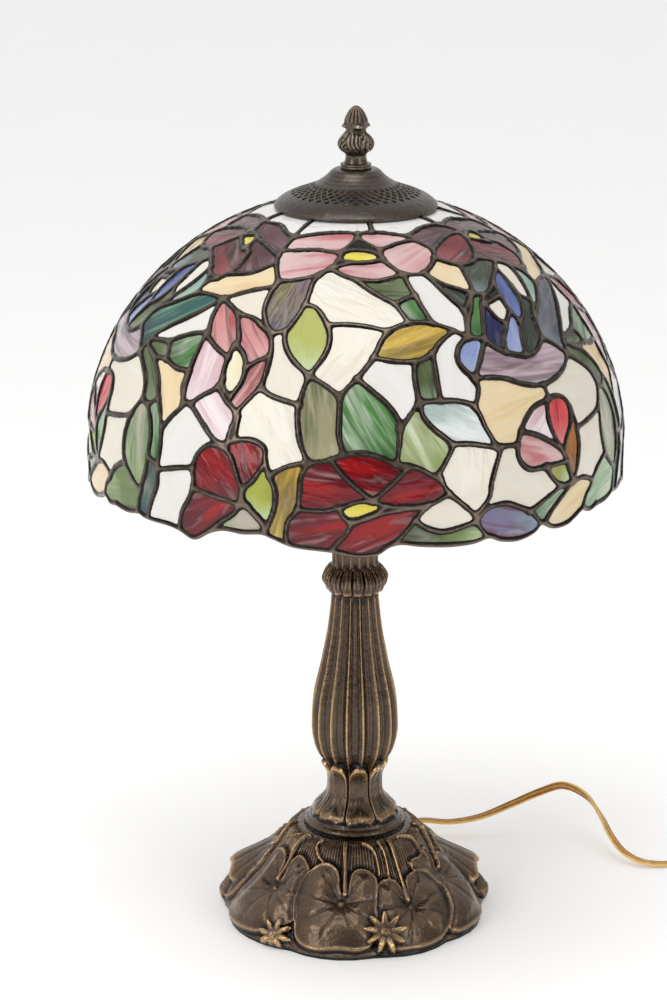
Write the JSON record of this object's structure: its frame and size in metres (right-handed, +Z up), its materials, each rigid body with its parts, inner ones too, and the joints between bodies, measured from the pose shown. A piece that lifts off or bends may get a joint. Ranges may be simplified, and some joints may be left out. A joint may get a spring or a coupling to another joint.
{
  "type": "table lamp",
  "caption": "Table lamp with a domed leaded-glass shade on a wire harp, a turned fluted bronze column, a bell-shaped lily-pad foot and a cord with an in-line rotary switch.",
  "frame": {"origin": "on the lamp's axis, at the underside of its felt pad, on the table top", "axes": "+Z up the lamp's axis, -Y towards the front, +X to the right, where the cord runs"},
  "size_m": [0.4858, 0.3054, 0.482],
  "materials": {
    "bronze": "antique bronze patina, ridges rubbed to gold",
    "dark_bronze": "dark bronze lacquer on spun metal",
    "solder": "dark patina on raised solder",
    "brass": "plain brass",
    "steel": "zinc plated",
    "cast_iron": "rough casting",
    "glass_cream": "streaky opalescent glass",
    "glass_green": "streaky opalescent glass",
    "glass_rose": "streaky opalescent glass",
    "glass_amber": "streaky opalescent glass",
    "glass_mauve": "streaky opalescent glass",
    "glass_blue": "streaky opalescent glass",
    "bulb_glass": "frosted",
    "phenolic": "moulded",
    "cord": "clear gold insulation over stranded copper",
    "felt": "felt",
    "fibre": "vulcanised fibre",
    "switch_plastic": "moulded"
  },
  "bodies": {
    "base": {"ballast_plate": "cast_iron", "base_casting": "bronze", "column_casting": "bronze", "column_top_cup": "brass", "cord_bushing": "phenolic", "cord_lamp_side": "cord", "cord_plug_side": "cord", "felt_pad": "felt", "harp_saddle": "brass", "lamp_rod": "brass", "plug_blade_live": "brass", "plug_blade_neutral": "brass", "plug_body": "switch_plastic", "rod_lock_washer": "steel", "rod_nut": "brass", "socket_cap": "brass", "socket_insulator": "phenolic", "socket_liner": "fibre", "socket_screw_shell": "brass", "socket_shell": "brass", "switch_base": "switch_plastic", "switch_cover": "switch_plastic", "switch_screw": "steel"},
    "switch_wheel": {"switch_wheel": "brass"},
    "bulb": {"bulb_globe": "bulb_glass", "bulb_screw_base": "brass"},
    "harp": {"harp_wire": "brass", "harp_stud": "brass"},
    "harp_sleeve_left": {"harp_sleeve_left": "brass"},
    "harp_sleeve_right": {"harp_sleeve_right": "brass"},
    "seat_washer": {"seat_washer": "fibre"},
    "shade": {"solder_lattice": "solder", "heat_cap": "dark_bronze", "crown_ring": "brass", "rim_wire": "solder", "glass_lower_01": "glass_amber", "glass_lower_02": "glass_mauve", "glass_lower_03": "glass_blue", "glass_lower_04": "glass_cream", "glass_lower_05": "glass_green", "glass_lower_06": "glass_rose", "glass_lower_07": "glass_amber", "glass_lower_08": "glass_mauve", "glass_lower_09": "glass_blue", "glass_lower_10": "glass_cream", "glass_upper_01": "glass_cream", "glass_upper_02": "glass_green", "glass_upper_03": "glass_rose", "glass_upper_04": "glass_amber", "glass_upper_05": "glass_mauve", "glass_upper_06": "glass_blue", "glass_upper_07": "glass_cream", "glass_upper_08": "glass_green", "glass_upper_09": "glass_rose", "glass_upper_10": "glass_amber"},
    "finial_washer": {"finial_washer": "bronze"},
    "finial": {"finial": "bronze"}
  },
  "joints": [
    {"name": "switch_turn", "type": "hinge", "parent": "base", "child": "switch_wheel", "pos_m": [0.245, 0.0615, 0.008], "axis": [0, 0, 1], "continuous": true},
    {"name": "bulb_unscrew", "type": "hinge", "parent": "base", "child": "bulb", "pos_m": [0, 0, 0.28], "axis": [0, 0, 1], "range_deg": [0, 1260]},
    {"name": "harp_lift", "type": "slide", "parent": "base", "child": "harp", "axis": [0, 0, 1], "range_m": [0, 0.03]},
    {"name": "sleeve_left_rise", "type": "slide", "parent": "harp", "child": "harp_sleeve_left", "axis": [0, 0, 1], "range_m": [0, 0.012]},
    {"name": "sleeve_right_rise", "type": "slide", "parent": "harp", "child": "harp_sleeve_right", "axis": [0, 0, 1], "range_m": [0, 0.012]},
    {"name": "shade_turn", "type": "hinge", "parent": "harp", "child": "seat_washer", "pos_m": [0, 0, 0.4446], "axis": [0, 0, 1], "continuous": true},
    {"name": "shade_lift", "type": "slide", "parent": "seat_washer", "child": "shade", "axis": [0, 0, 1], "range_m": [0, 0.2]},
    {"name": "finial_rise", "type": "slide", "parent": "shade", "child": "finial_washer", "axis": [0, 0, 1], "range_m": [0, 0.0075]},
    {"name": "finial_unscrew", "type": "hinge", "parent": "finial_washer", "child": "finial", "pos_m": [0, 0, 0.4499], "axis": [0, 0, 1], "range_deg": [0, 2880]}
  ],
  "couplings": [
    {"joint": "finial_unscrew", "follows": "finial_rise", "rad_per_m": 6679.2}
  ]
}
